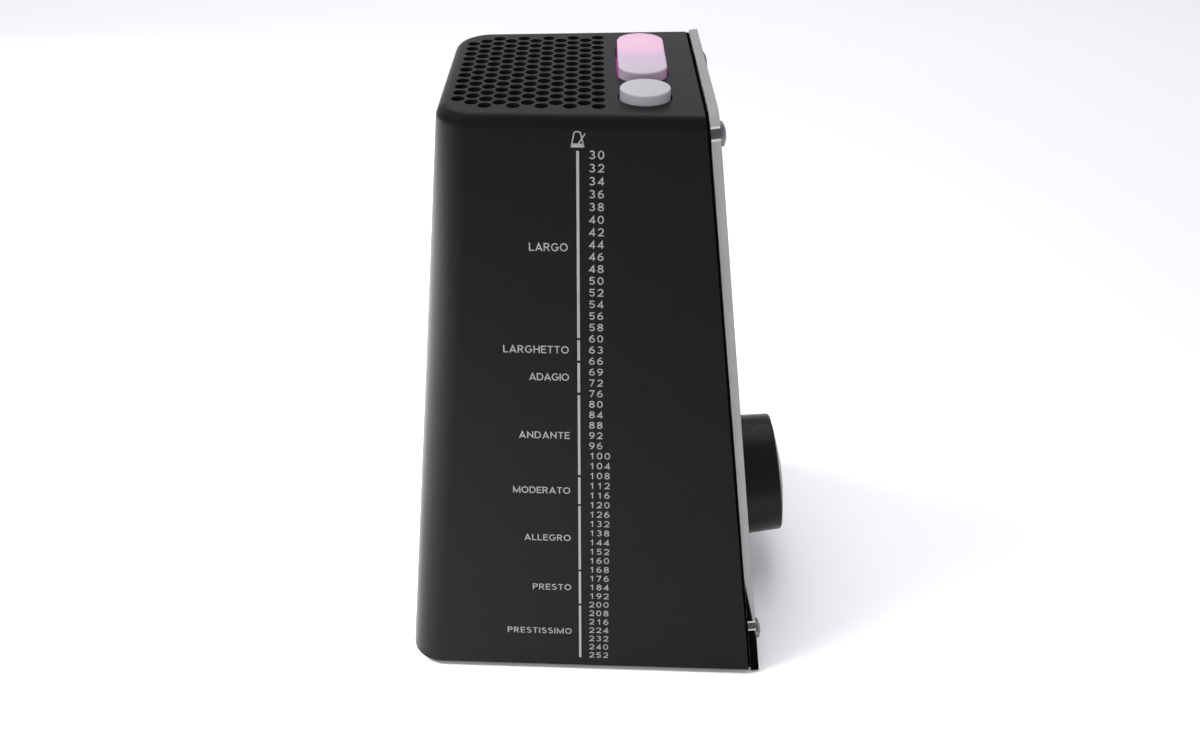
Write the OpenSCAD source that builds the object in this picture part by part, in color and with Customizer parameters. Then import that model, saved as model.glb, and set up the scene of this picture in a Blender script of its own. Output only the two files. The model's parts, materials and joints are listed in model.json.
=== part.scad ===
// Electronic metronome in a leaning four-sided body, with a clear plate over its front.
// Millimetres. +Z is up and the front faces -Y. The origin is the middle of the whole plan,
// from the dial to the back, on the surface that the rubber feet stand on.

/* [Body] */
// Height of the body above its feet
body_h = 130; // [126:1:136]
// Width across the front edge of the top
top_w = 54.6; // [54:0.1:57]
// Depth of the top from front to back
top_d = 50; // [49.5:0.5:53]
// Inward lean of each side
side_lean = 6.66; // [6.4:0.01:7.2]
// Turn of each side in plan, which makes the back narrower than the front
side_turn = 2.49; // [2:0.01:2.8]
// Lean of the front
front_lean = 6.95; // [6.6:0.01:7.2]
// Lean of the back
back_lean = 6.38; // [6.2:0.01:7]
// Radius of the two upright corners at the back
corner_r = 8; // [7:0.5:9]
// Thickness of the front, side and back walls
wall = 2.2; // [2:0.1:2.4]
// Thickness of the top
top_wall = 2.5; // [2.2:0.1:2.6]
// Height of the rubber feet below the body
foot_h = 1.5; // [1:0.1:3]
// Radius of the rubber feet
foot_r = 5; // [4:0.5:6]

/* [Grille] */
// Diameter of a speaker hole
hole_d = 2.6; // [2:0.1:2.6]
// Distance between rows of holes, at the column nearest the buttons
row_pitch = 3.49; // [3.4:0.01:3.5]
// Distance between columns of holes
col_pitch = 2.66; // [2.6:0.01:2.7]
// Number of columns of holes
col_count = 11; // [7:2:11]

/* [Buttons] */
// Width of both buttons
button_w = 9.7; // [9:0.1:9.8]
// Length of the start button
start_len = 25.9; // [22:0.1:26]
// Height of the buttons above the top
button_rise = 1.9; // [1.2:0.1:2.2]
// How far a button goes down
button_travel = 0.6; // [0.4:0.1:0.6]
// Gap around each button
button_gap = 0.35; // [0.3:0.05:0.4]

/* [Front] */
// Thickness of the clear plate
plate_t = 1.9; // [1.5:0.1:2.5]
// Thickness of the black sheet behind the clear plate
sheet_t = 0.6; // [0.3:0.05:0.7]
// How far the clear plate stands up past the top
plate_rise = 0.6; // [0.5:0.1:2]
// How far the clear plate stays inside each side of the body
plate_inset = 0.8; // [0:0.1:1.5]
// Distance of the plate screws from the plate's edges
screw_inset = 6.5; // [6.4:0.1:7]
// Radius of the clear plate's two upper corners
plate_corner_r = 3; // [1:0.5:4]
// Diameter of the tempo dial where it meets the plate
dial_d = 30.6; // [26:0.1:32]
// How much smaller the radius of the dial is at its free end
dial_narrow = 0.5; // [0:0.1:0.6]
// Radius of the dial's rounded outer edge
dial_edge = 0.6; // [0.3:0.1:1]
// How far the outer edge of the tempo dial stands off the clear plate
dial_h = 10.3; // [8:0.1:12]
// Height of the dial's domed end above that edge
dial_dome = 1.5; // [1:0.1:2]
// Distance of the dial's axis down the front, from the top
dial_down = 106.9; // [104:0.1:108]

/* [Battery] */
// Diameter of one cell
cell_d = 10.2; // [10:0.1:10.4]
// Length of one cell with its nub
cell_len = 44.5; // [44:0.1:44.5]
// Thickness of the battery door
door_t = 2; // [1.8:0.1:2]
// Width of the battery door
door_w = 50; // [48:1:51]
// Height of the battery door
door_h = 36; // [36:1:38]
// Distance of the door's lower edge up the back, from the bottom
door_low = 14; // [13:1:15]

/* [Hidden] */
$fn = 64;
big = 300;
eps = 0.01;
fit_gap = 0.05;

top_z = foot_h + body_h;
bottom_d = top_d + body_h * (tan(front_lean) + tan(back_lean));
dial_rim_r = dial_d / 2 - dial_narrow - dial_edge;
dial_reach = (dial_h + plate_t + sheet_t + dial_dome) * cos(front_lean) + dial_down * sin(front_lean)
    + pow(dial_rim_r * sin(front_lean), 2) / (4 * dial_dome * cos(front_lean));
front_y = (dial_reach - top_d - body_h * tan(back_lean)) / 2;
back_y = front_y + top_d;
mid_y = back_y + body_h * tan(back_lean) - bottom_d / 2;
under_z = top_z - top_wall;

// Outward normals of the side and the back, and how far the two planes lie from the origin
side_n = [cos(side_lean) * cos(side_turn), cos(side_lean) * sin(side_turn), sin(side_lean)];
back_n = [0, cos(back_lean), sin(back_lean)];
side_dist = side_n * [top_w / 2, front_y, top_z];
back_dist = back_n * [0, back_y, top_z];

// Frame of the rounded corner: its axis runs along the edge where the side meets the back
corner_z = cross(side_n, back_n) / norm(cross(side_n, back_n));
corner_y = cross(corner_z, side_n);
corner_axis_y = (back_dist - corner_r) / back_n.y;
corner_axis_x = (side_dist - corner_r - side_n.y * corner_axis_y) / side_n.x;
back_in_corner = [back_n * side_n, back_n * corner_y];
// The rounding cuts its two planes at a very small angle, where an exact tangent would only graze them
corner_slack = 0.005;

// Half the width of the top at a place y, and of the front face at a distance down it
function top_half_w(y) = top_w / 2 - tan(side_turn) * (y - front_y);
front_growth = tan(side_lean) / cos(side_turn) * cos(front_lean) + tan(side_turn) * sin(front_lean);
function front_half_w(down) = top_w / 2 + down * front_growth;
front_len = body_h / cos(front_lean);
back_len = body_h / cos(back_lean);

// Grille
grille_y = front_y + 19.47;
mid_row = 6;

// Buttons and the board below them, measured down from the top
button_y = front_y + 10.6;
button_r = button_w / 2;
start_x = 5.05;
tap_x = -15.85;
button_skin = 1.5;
flange_wide = 0.8;
flange_t = 1;
flange_z = under_z - 0.2 - flange_t;
stem_r = 1.5;
stem_z = top_z - 5.2;
switch_x = [2, tap_x];
switch_w = 6.2;
switch_top = top_z - 6.7;
plunger_r = 1.7;
plunger_len = 3;
plunger_z = stem_z - plunger_len;
board_top = top_z - 10.3;
button_board_t = 1.2;
button_board_w = 48;
button_board_y = [front_y + 3.35, front_y + 18.15];
button_post_x = 21.8;
button_post_y = [button_y - 4.7, button_y + 5.1];
led_x = 12;

// Speaker, measured down from the underside of the top
speaker_y = grille_y + 5 * col_pitch;
speaker_len = 40;
speaker_w = 28;
cloth_t = 0.3;
cloth_front_y = grille_y - 1.4;
gasket_t = 0.8;
speaker_z = under_z - cloth_t - gasket_t;
speaker_flange = 1;
basket_len = 33;
basket_w = 21;
basket_depth = 5.5;
magnet_r = 8.5;
magnet_t = 3.5;
bracket_t = 1.2;
bracket_post_x = 22.3;

// Front: distances down it, and depths behind its outer face
plate_low = front_len + 1.1;
sheet_corner_r = 2.7;
plate_screw_down = [screw_inset - plate_rise, plate_low - screw_inset];
plate_hole_r = 1.2;
insert_r = 1.6;
insert_depth = [1.2, 5.2];
plate_post_r = 2.7;
screw_r = 0.95;
head_r = 2.4;
head_t = 1.5;
board_depth = 9;
front_board_t = 1.6;
front_board_down = [16, 117];
front_board_half_w = [20.5, 30];
board_post = [[17.5, 19.5], [25, 112]];
post_r = 2.4;
display_down = 76;
display_w = 30;
display_h = 14;
pendulum_r = 44;
pendulum_down = 68;
pendulum_step = 6;
led_count = 9;
led_r = 1.5;

// Dial and encoder
dial_gap = 0.4;
dial_r = dial_d / 2;
dial_back = -sheet_t - plate_t - dial_gap;
dial_len = dial_h - dial_gap;
dial_end = [for (i = [0:12]) let (k = 1 - i / 12) [dial_rim_r * k, dial_len + dial_dome * (1 - k * k)]];
dial_hole_r = 6.4;
encoder_w = 12.5;
bushing_r = 3.5;
bushing_front = -3.8;
shaft_r = 3;
shaft_front = -11;
shaft_flat = 1.6;
nut_t = 2;
washer_t = 0.5;

// Battery compartment: distances down the back, and depths behind its outer face
door_bottom = back_len - door_low;
door_gap = 0.3;
pin_r = 0.6;
pin_len = 1.3;
pin_depth = door_t / 2;
tray_w = 50;
tray_h = 35;
tray_wall = 1.5;
tray_depth = 12.6;
tray_mid = door_bottom - door_h / 2;
cell_pitch = 11.4;
cell_depth = wall + 1 + cell_d / 2;
contact_t = 0.4;
cell_start = tray_w / 2 - contact_t - cell_len;
spring_wire_r = 0.4;
spring_turns = 7;
tray_screw = [14, tray_h / 2 + 4.2];
tray_tab_t = 1.5;

// Side board: places along the side from its front edge, and down it
side_board_down = 58;
side_board_len = 34;
side_board_w = 22;
side_board_mid = 33;
side_board_t = 1.6;
side_board_gap = 0.6;
jack_y = side_board_mid - 8;
jack_len = 16;
jack_w = 7;
jack_bore_r = 1.8;
jack_nose_r = 3;
wheel_r = 8;
wheel_t = 2.6;
wheel_out = 1.5;
wheel_y = side_board_mid + 6.5;
wheel_x = wheel_out - wheel_r;
wheel_lift = 1.4;
wheel_pin_r = 1.2;
ridge_count = 30;

// Base
base_t = 2.5;
base_screw = [31.5, 20];
base_post_r = 3.2;
base_post_h = 9;
foot_place = [31.5, 31];
foot_sink = 0.8;

// ---- Frames ----

// On the front face: x across, y depth into the body, z up the face, from its top edge
module on_front() {
    translate([0, front_y, top_z]) rotate([-front_lean, 0, 0]) children();
}

// On the back face: x across, y out of the body, z up the face, from its top edge
module on_back() {
    translate([0, back_y, top_z]) rotate([back_lean, 0, 0]) children();
}

// On the right side: x out of the body, y towards the back, z up the face
module on_side() {
    translate([top_w / 2, front_y, top_z]) rotate([0, -side_lean, side_turn]) children();
}

module both_sides() {
    children();
    mirror([1, 0, 0]) children();
}

// ---- Shared shapes ----

// Everything inside one rounded back corner of radius r
module corner_limit(r) {
    multmatrix([
        [side_n.x, corner_y.x, corner_z.x, corner_axis_x],
        [side_n.y, corner_y.y, corner_z.y, corner_axis_y],
        [side_n.z, corner_y.z, corner_z.z, 0],
        [0, 0, 0, 1]
    ]) {
        cylinder(r = r + corner_slack, h = 2 * big, center = true, $fn = 96);
        linear_extrude(height = 2 * big, center = true) polygon([
            [0, 0],
            [r + 1, 0],
            [r + 1, -big],
            (r + 1) * back_in_corner + big * [-back_in_corner.y, back_in_corner.x],
            (r + 1) * back_in_corner
        ]);
    }
}

module side_limit(inset) {
    on_side() translate([-big - inset, -big, -big]) cube([big, 2 * big, 2 * big]);
}

// The leaning body with every face moved in by inset, between two heights
module pyramid(inset, z_low, z_high) {
    intersection() {
        translate([-big, -big, z_low]) cube([2 * big, 2 * big, z_high - z_low]);
        on_front() translate([-big, inset, -big]) cube([2 * big, big, 2 * big]);
        on_back() translate([-big, -big - inset, -big]) cube([2 * big, big, 2 * big]);
        side_limit(inset);
        mirror([1, 0, 0]) side_limit(inset);
        corner_limit(corner_r - inset);
        mirror([1, 0, 0]) corner_limit(corner_r - inset);
    }
}

// Block with round ends along x, standing on z = 0
module oblong(len, w, h) {
    straight = len - w;
    translate([-straight / 2, -w / 2, 0]) cube([straight, w, h]);
    for (side = [-1, 1])
        translate([side * straight / 2, 0, 0]) cylinder(d = w, h = h);
}

// Cylinder whose axis runs along +y, from y = 0
module rod_y(r, len) {
    rotate([-90, 0, 0]) cylinder(r = r, h = len);
}

// Cylinder whose axis runs along +x, from x = 0
module rod_x(r, len) {
    rotate([0, 90, 0]) cylinder(r = r, h = len);
}

// Points along the rounded upper right corner of a sheet whose edge leans out by the angle lean
function upper_corner(half_top, down_top, r, lean) = [
    for (i = [0:12])
        let (turn = 90 - (90 - lean) * i / 12)
            [half_top - r * tan(45 - lean / 2), -down_top - r] + r * [cos(turn), sin(turn)]
];
function mirrored(points) = [for (i = [len(points) - 1:-1:0]) [-points[i].x, points[i].y]];

// Flat sheet of the front's own outline: x across, z up, y thick; r rounds its upper corners
module front_outline(half_top, half_low, down_top, down_low, t, r) {
    corner = upper_corner(half_top, down_top, r, atan((half_low - half_top) / (down_low - down_top)));
    rotate([90, 0, 0]) mirror([0, 0, 1]) linear_extrude(height = t) polygon(concat(
        mirrored(corner),
        corner,
        [[half_low, -down_low], [-half_low, -down_low]]
    ));
}

// Pan-head screw pointing down, with the underside of its head at z = 0
module pan_screw(shank_r, len, r, t) {
    crown = r * 2;
    difference() {
        intersection() {
            cylinder(r = r, h = t);
            translate([0, 0, t - crown]) sphere(r = crown);
        }
        // Cross recess
        for (turn = [0, 90])
            rotate([0, 0, turn]) translate([-r * 0.5, -r * 0.11, t * 0.4]) cube([r, r * 0.22, t]);
    }
    translate([0, 0, -len]) cylinder(r = shank_r, h = len + eps);
}

// Round wire through a list of points
module wire(points, r) {
    for (i = [0:len(points) - 2]) {
        run = points[i + 1] - points[i];
        translate(points[i])
            rotate([0, acos(run.z / norm(run)), atan2(run.y, run.x)])
                cylinder(r = r, h = norm(run), $fn = 16);
    }
    for (i = [1:len(points) - 2])
        translate(points[i]) sphere(r = r * 1.2, $fn = 16);
}

module each_plate_screw() {
    for (down = plate_screw_down)
        for (side = [-1, 1])
            translate([side * (front_half_w(down) - plate_inset - screw_inset), 0, -down]) children();
}

module each_board_post() {
    for (p = board_post)
        for (side = [-1, 1])
            translate([side * p.x, 0, -p.y]) children();
}

module each_button_post() {
    for (i = [0, 1])
        for (side = [-1, 1])
            translate([side * button_post_x, button_post_y[i], 0]) children();
}

module each_base_screw() {
    for (x = [-1, 1])
        for (y = [-1, 1])
            translate([x * base_screw.x, mid_y + y * base_screw.y, 0]) children();
}

module each_tray_screw() {
    for (x = [-1, 1])
        for (z = [-1, 1])
            translate([x * tray_screw.x, 0, z * tray_screw.y - tray_mid]) children();
}

// Places of the pendulum lights, on an arc about a point lower down the front
module each_pendulum_led() {
    for (i = [0:led_count - 1]) {
        angle = (i - (led_count - 1) / 2) * pendulum_step;
        translate([pendulum_r * sin(angle), 0, pendulum_r * cos(angle) - pendulum_down]) children();
    }
}

// ---- Body ----

module grille_holes() {
    for (c = [0:col_count - 1]) {
        y = grille_y + c * col_pitch;
        pitch = row_pitch * top_half_w(y) / top_half_w(grille_y);
        odd = c % 2;
        reach = mid_row - (c == col_count - 1 ? 1 : odd / 2);
        for (r = [-reach:1:reach])
            translate([r * pitch, y, under_z - 1]) cylinder(d = hole_d, h = top_wall + 2, $fn = 24);
    }
}

module shell_posts() {
    // Posts for the plate's threaded inserts and for the front board
    on_front() {
        each_plate_screw() rod_y(plate_post_r, insert_depth[1] + 0.8);
        each_board_post() rod_y(post_r, board_depth);
    }
    // Posts for the button board and the speaker bracket
    each_button_post() translate([0, 0, board_top]) cylinder(r = 1.8, h = top_z - board_top - 1);
    for (side = [-1, 1])
        translate([side * bracket_post_x, speaker_y, speaker_z - speaker_flange])
            cylinder(r = 1.6, h = top_wall + cloth_t + gasket_t + speaker_flange - 1);
    // Posts for the base screws, each with a web to the side wall
    each_base_screw() translate([0, 0, foot_h + base_t + fit_gap])
        cylinder(r = base_post_r, h = base_post_h);
    both_sides() for (y = [-1, 1])
        translate([base_screw.x, mid_y + y * base_screw.y - 1, foot_h + base_t + fit_gap])
            cube([16, 2, base_post_h]);
    // Posts for the battery tray
    on_back() each_tray_screw() translate([0, -wall - 3, 0]) rod_y(2, 4);
}

// Grooved rails on the right wall that the side board slides into
module side_rails() {
    on_side() for (end = [-1, 1])
        translate([-16, side_board_mid + end * side_board_len / 2 - 1.5, -side_board_down - 2.2])
            cube([15, 3, 6]);
}

module shell_cuts() {
    grille_holes();
    // Button openings
    translate([start_x, button_y, under_z - 1])
        oblong(start_len + 2 * button_gap, button_w + 2 * button_gap, top_wall + 2);
    translate([tap_x, button_y, under_z - 1]) cylinder(r = button_r + button_gap, h = top_wall + 2);
    on_front() {
        // Openings for the display, the pendulum lights and the encoder
        translate([-display_w / 2 - 0.3, -1, -display_down - display_h / 2 - 0.3])
            cube([display_w + 0.6, wall + 2, display_h + 0.6]);
        each_pendulum_led() translate([0, -1, 0]) rod_y(led_r + 0.2, wall + 2);
        translate([0, -1, -dial_down]) rod_y(bushing_r + 0.1, wall + 2);
        // Sockets of the inserts and pilot holes of the board screws
        each_plate_screw() translate([0, -1, 0]) rod_y(insert_r, insert_depth[1] + 1.2);
        each_board_post() translate([0, 3, 0]) rod_y(0.8, board_depth);
    }
    each_button_post() translate([0, 0, board_top - 1]) cylinder(r = 0.7, h = 6);
    for (side = [-1, 1])
        translate([side * bracket_post_x, speaker_y, speaker_z - speaker_flange - 1])
            cylinder(r = 0.6, h = 4);
    each_base_screw() cylinder(r = 1, h = foot_h + base_t + base_post_h - 1);
    on_back() {
        // Door opening, the holes of its hinge pins and the thumb scoop above it
        translate([-door_w / 2 - door_gap, -wall - 1, -door_bottom - door_gap])
            cube([door_w + 2 * door_gap, wall + 2, door_h + 2 * door_gap]);
        translate([-door_w / 2 - pin_len - 0.3, -pin_depth, -door_bottom + pin_depth])
            rod_x(pin_r + fit_gap, door_w + 2 * pin_len + 0.6);
        translate([0, 1.5, -door_bottom + door_h]) rotate([90, 0, 0]) cylinder(r = 6, h = 2.5);
        each_tray_screw() translate([0, -wall - 4, 0]) rod_y(0.7, 4.6);
    }
    on_side() {
        // Openings for the phones jack and the volume wheel
        translate([-wall - 1, jack_y, -side_board_down + jack_w / 2]) rod_x(jack_nose_r + 0.15, wall + 2);
        translate([-wall - 4, wheel_y - wheel_r + 0.6, -side_board_down + wheel_lift - 0.4])
            cube([wall + 5, 2 * wheel_r - 1.2, wheel_t + 0.8]);
        // Grooves of the rails
        translate([-17, side_board_mid - side_board_len / 2 - 0.1, -side_board_down - side_board_t - 0.05])
            cube([17 - wall - side_board_gap + 0.1, side_board_len + 0.2, side_board_t + 0.1]);
    }
}

module body_shell() {
    color("#262628") difference() {
        union() {
            difference() {
                pyramid(0, foot_h, top_z);
                pyramid(wall, foot_h - 1, under_z);
            }
            intersection() {
                pyramid(wall / 2, foot_h + base_t, top_z - 1);
                union() {
                    shell_posts();
                    side_rails();
                }
            }
        }
        shell_cuts();
    }
}

module base_cover() {
    color("#1f1f21") difference() {
        pyramid(wall + 0.15, foot_h, foot_h + base_t);
        each_base_screw() {
            translate([0, 0, foot_h - 1]) cylinder(r = 1.3, h = base_t + 2);
            translate([0, 0, foot_h - eps]) cylinder(r1 = 2.3, r2 = 1.3, h = 1.2);
        }
        for (x = [-1, 1])
            for (y = [-1, 1])
                translate([x * foot_place.x, mid_y + y * foot_place.y, foot_h - 1])
                    cylinder(r = foot_r, h = 1 + foot_sink);
    }
}

module base_screws() {
    color("#5b5c60") each_base_screw() {
        translate([0, 0, foot_h]) cylinder(r1 = 2.2, r2 = 1, h = 1.2);
        translate([0, 0, foot_h + 1]) cylinder(r = 1, h = 9);
    }
}

module rubber_foot(x, y) {
    color("#161616") translate([x * foot_place.x, mid_y + y * foot_place.y, 0]) {
        cylinder(r1 = foot_r - 0.5, r2 = foot_r, h = 0.6);
        translate([0, 0, 0.6]) cylinder(r = foot_r, h = foot_h + foot_sink - 0.6);
    }
}

// ---- Front ----

module front_sheet() {
    color("#0c0c0d") on_front() difference() {
        translate([0, -sheet_t, 0]) front_outline(
            front_half_w(0) - plate_inset, front_half_w(front_len) - plate_inset,
            0, front_len, sheet_t, sheet_corner_r);
        translate([-display_w / 2 + 1, -1, -display_down - display_h / 2 + 1])
            cube([display_w - 2, 2, display_h - 2]);
        each_pendulum_led() translate([0, -1, 0]) rod_y(led_r, 2);
        each_plate_screw() translate([0, -1, 0]) rod_y(plate_hole_r, 2);
        translate([0, -1, -dial_down]) rod_y(dial_hole_r, 2);
    }
}

module acrylic_plate() {
    color("#c8d4d6", 0.35) on_front() difference() {
        translate([0, -sheet_t - plate_t, 0]) front_outline(
            front_half_w(-plate_rise) - plate_inset, front_half_w(plate_low) - plate_inset,
            -plate_rise, plate_low, plate_t, plate_corner_r);
        each_plate_screw() translate([0, -sheet_t - plate_t - 1, 0]) rod_y(plate_hole_r, plate_t + 2);
        translate([0, -sheet_t - plate_t - 1, -dial_down]) rod_y(dial_hole_r, plate_t + 2);
    }
}

module plate_screws() {
    color("#4a4b50") on_front() each_plate_screw()
        translate([0, -sheet_t - plate_t, 0]) rotate([90, 0, 0])
            pan_screw(screw_r, sheet_t + plate_t + insert_depth[1] - 0.6, head_r, head_t);
}

module plate_inserts() {
    color("#b08d4a") on_front() each_plate_screw() translate([0, insert_depth[0], 0]) difference() {
        rod_y(insert_r, insert_depth[1] - insert_depth[0]);
        translate([0, -1, 0]) rod_y(screw_r, insert_depth[1] - insert_depth[0] + 2);
    }
}

module front_board() {
    color("#1d5a34") on_front() difference() {
        translate([0, board_depth, 0]) front_outline(
            front_board_half_w[0], front_board_half_w[1], front_board_down[0], front_board_down[1],
            front_board_t, 1.5);
        each_board_post() translate([0, board_depth - 1, 0]) rod_y(1.1, front_board_t + 2);
    }
}

module front_board_screws() {
    color("#8b8c90") on_front() each_board_post()
        translate([0, board_depth + front_board_t, 0]) rotate([-90, 0, 0]) pan_screw(0.8, 6, 1.9, 1.2);
}

module tempo_display() {
    color("#3a1012") on_front()
        translate([-display_w / 2, 0.4, -display_down - display_h / 2])
            cube([display_w, board_depth - 0.4, display_h]);
}

module pendulum_leds() {
    color("#d43a35") on_front() each_pendulum_led() {
        translate([0, led_r + 0.3, 0]) rod_y(led_r, board_depth - led_r - 0.3);
        translate([0, led_r + 0.3, 0]) sphere(r = led_r);
        translate([0, board_depth - 1.4, 0]) rod_y(led_r + 0.35, 1.4);
    }
}

// Flat chip package with a row of legs along each long side, flat on z = 0
module chip(len, w, legs) {
    leg_pitch = 1.27;
    translate([-len / 2, -w / 2, 0.1]) cube([len, w, 1.6]);
    for (side = [-1, 1])
        for (i = [0:legs - 1])
            translate([(i - (legs - 1) / 2) * leg_pitch - 0.2, side > 0 ? w / 2 - 0.4 : -w / 2 - 0.9, 0])
                cube([0.4, 1.3, 0.5]);
}

// On the inner side of the front board, with z away from the board
module on_front_board(x, down) {
    on_front() translate([x, board_depth + front_board_t, -down]) rotate([-90, 0, 0]) children();
}

module controller_chip() {
    color("#1a1a1c") on_front_board(0, 56) chip(18, 7.6, 14);
}

module amplifier_chip() {
    color("#1a1a1c") on_front_board(-8, 36) chip(5, 4, 4);
}

module quartz_crystal() {
    color("#b9bbbf") on_front_board(0, 66) oblong(11, 4.6, 3.4);
}

module capacitors() {
    color("#2c3850") for (place = [[9, 32], [9, 41]])
        on_front_board(place.x, place.y) {
            cylinder(r = 3.1, h = 0.6);
            cylinder(r = 2.9, h = 7);
        }
}

module encoder_body() {
    color("#7d7f84") on_front() translate([-encoder_w / 2, wall, -dial_down - encoder_w / 2])
        difference() {
            cube([encoder_w, board_depth - wall, encoder_w]);
            translate([encoder_w / 2, -1, encoder_w / 2]) rod_y(shaft_r + fit_gap, 5);
        }
}

module encoder_bushing() {
    color("#b5b7bb") on_front() translate([0, bushing_front, -dial_down]) difference() {
        rod_y(bushing_r, wall - bushing_front);
        translate([0, -1, 0]) rod_y(shaft_r + fit_gap, wall - bushing_front + 2);
    }
}

module encoder_washer() {
    color("#a2a4a8") on_front() translate([0, -washer_t, -dial_down]) difference() {
        rod_y(5.6, washer_t);
        translate([0, -1, 0]) rod_y(bushing_r, washer_t + 2);
    }
}

module encoder_nut() {
    color("#a2a4a8") on_front() translate([0, -washer_t - nut_t, -dial_down]) difference() {
        rotate([-90, 0, 0]) cylinder(r = 5.6, h = nut_t, $fn = 6);
        translate([0, -1, 0]) rod_y(bushing_r, nut_t + 2);
    }
}

// D-shaped rod along y, between two depths, with its flat towards +z
module d_rod(from, to) {
    difference() {
        translate([0, from, 0]) rod_y(shaft_r, to - from);
        translate([-shaft_r - 1, from - 1, shaft_flat])
            cube([2 * shaft_r + 2, bushing_front - from + 0.5, shaft_r]);
    }
}

module encoder_shaft() {
    color("#c2c4c8") on_front() translate([0, 0, -dial_down]) d_rod(shaft_front, wall + 3.6);
}

module tempo_dial() {
    color("#232325") on_front() translate([0, dial_back, -dial_down]) rotate([90, 0, 0]) difference() {
        rotate_extrude($fn = 128) {
            polygon(concat([[0, 0], [dial_r, 0], [dial_r - dial_narrow, dial_len - dial_edge]], dial_end));
            translate([dial_rim_r, dial_len - dial_edge]) circle(r = dial_edge, $fn = 48);
        }
        // Hollow back around a central hub, room for the nut and bushing, and the shaft's bore
        translate([0, 0, -1]) difference() {
            cylinder(r = dial_r - 2, h = 6.5);
            cylinder(r = 6.2, h = 7);
        }
        translate([0, 0, -1]) cylinder(r = 4.2, h = 1 + dial_back - bushing_front + 0.4);
        rotate([-90, 0, 0]) translate([0, -dial_back, 0]) d_rod(shaft_front, 2);
        // Finger dimple
        translate([0, dial_r - 7, dial_len + 6.5]) sphere(r = 7);
    }
}

// ---- Speaker ----

module grille_cloth() {
    color("#101010") difference() {
        intersection() {
            pyramid(wall + 0.3, under_z - cloth_t, under_z);
            translate([-big, cloth_front_y, 0]) cube([2 * big, big, big]);
        }
        for (side = [-1, 1])
            translate([side * bracket_post_x, speaker_y, under_z - 1]) cylinder(r = 1.8, h = 2);
    }
}

module oblong_ring(len, w, band, h) {
    difference() {
        oblong(len, w, h);
        translate([0, 0, -1]) oblong(len - 2 * band, w - 2 * band, h + 2);
    }
}

module speaker_gasket() {
    color("#2b2b2d") translate([0, speaker_y, speaker_z]) oblong_ring(speaker_len, speaker_w, 2, gasket_t);
}

module speaker_basket() {
    color("#8e9094") translate([0, speaker_y, speaker_z - speaker_flange]) {
        oblong_ring(speaker_len, speaker_w, (speaker_len - basket_len) / 2 + 1, speaker_flange);
        translate([0, 0, speaker_flange - basket_depth]) difference() {
            oblong(basket_len, basket_w, basket_depth - eps);
            translate([0, 0, 1]) oblong(basket_len - 2, basket_w - 2, basket_depth);
            translate([0, 0, -1]) cylinder(r = 6, h = 3);
        }
    }
}

module speaker_surround() {
    color("#1b1b1c") translate([0, speaker_y, speaker_z + eps])
        oblong_ring(speaker_len - 4.4, speaker_w - 4.4, 3, 0.5);
}

module cone_body(lift) {
    hull() {
        translate([0, 0, lift]) oblong(speaker_len - 10.4, speaker_w - 10.4, 0.1, $fn = 32);
        translate([0, 0, lift - 3.2]) cylinder(r = 4, h = 0.1, $fn = 32);
    }
}

module speaker_cone() {
    color("#2a2724") translate([0, speaker_y, speaker_z - 0.3]) difference() {
        cone_body(0.3);
        cone_body(0.7);
    }
}

module speaker_dust_cap() {
    color("#202022") translate([0, speaker_y, speaker_z - 5.6]) intersection() {
        sphere(r = 5);
        translate([-6, -6, 3]) cube(12);
    }
}

module speaker_magnet() {
    color("#3a3a3d") translate([0, speaker_y, speaker_z - basket_depth - magnet_t]) difference() {
        cylinder(r = magnet_r, h = magnet_t);
        translate([0, 0, -1]) cylinder(r = 4.4, h = magnet_t + 2);
    }
}

module speaker_yoke() {
    color("#9da0a4") translate([0, speaker_y, speaker_z - basket_depth - magnet_t - 1]) {
        cylinder(r = magnet_r, h = 1);
        cylinder(r = 3.6, h = magnet_t + 1.8);
    }
}

module speaker_bracket() {
    color("#b4b6ba") translate([0, speaker_y, speaker_z - speaker_flange - bracket_t]) difference() {
        union() {
            oblong(speaker_len + 1, speaker_w - 2, bracket_t);
            oblong(2 * bracket_post_x + 2.8, 6, bracket_t);
        }
        translate([0, 0, -1]) oblong(basket_len + 0.8, basket_w + 0.8, bracket_t + 2);
        for (side = [-1, 1])
            translate([side * bracket_post_x, 0, -1]) cylinder(r = 0.8, h = bracket_t + 2, $fn = 24);
    }
}

module speaker_screws() {
    color("#8b8c90") for (side = [-1, 1])
        translate([side * bracket_post_x, speaker_y, speaker_z - speaker_flange - bracket_t])
            rotate([180, 0, 0]) pan_screw(0.6, 3.6, 1.4, 0.9);
}

// ---- Buttons ----

module button_board() {
    color("#1d5a34") difference() {
        translate([-button_board_w / 2, button_board_y[0], board_top - button_board_t])
            cube([button_board_w, button_board_y[1] - button_board_y[0], button_board_t]);
        each_button_post() translate([0, 0, board_top - button_board_t - 1])
            cylinder(r = 0.9, h = button_board_t + 2, $fn = 24);
    }
}

module button_board_screws() {
    color("#8b8c90") each_button_post() translate([0, 0, board_top - button_board_t])
        rotate([180, 0, 0]) pan_screw(0.7, 5, 1.5, 1);
}

module tact_switch(x) {
    color("#2a2a2c") translate([x, button_y, board_top]) difference() {
        translate([-switch_w / 2, -switch_w / 2, 0]) cube([switch_w, switch_w, switch_top - board_top]);
        translate([0, 0, plunger_z - button_travel - 0.4 - board_top])
            cylinder(r = plunger_r + fit_gap, h = switch_top - board_top);
    }
}

module tact_plunger(x) {
    color("#e6e3da") translate([x, button_y, plunger_z]) cylinder(r = plunger_r, h = plunger_len);
}

module beat_led() {
    color("#f7f2f6") translate([led_x, button_y, board_top]) {
        translate([-2.5, -2.5, 0]) cube([5, 5, 1.2]);
        translate([0, 0, 1.2]) cylinder(r = 1.8, h = 0.5);
    }
}

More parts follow.
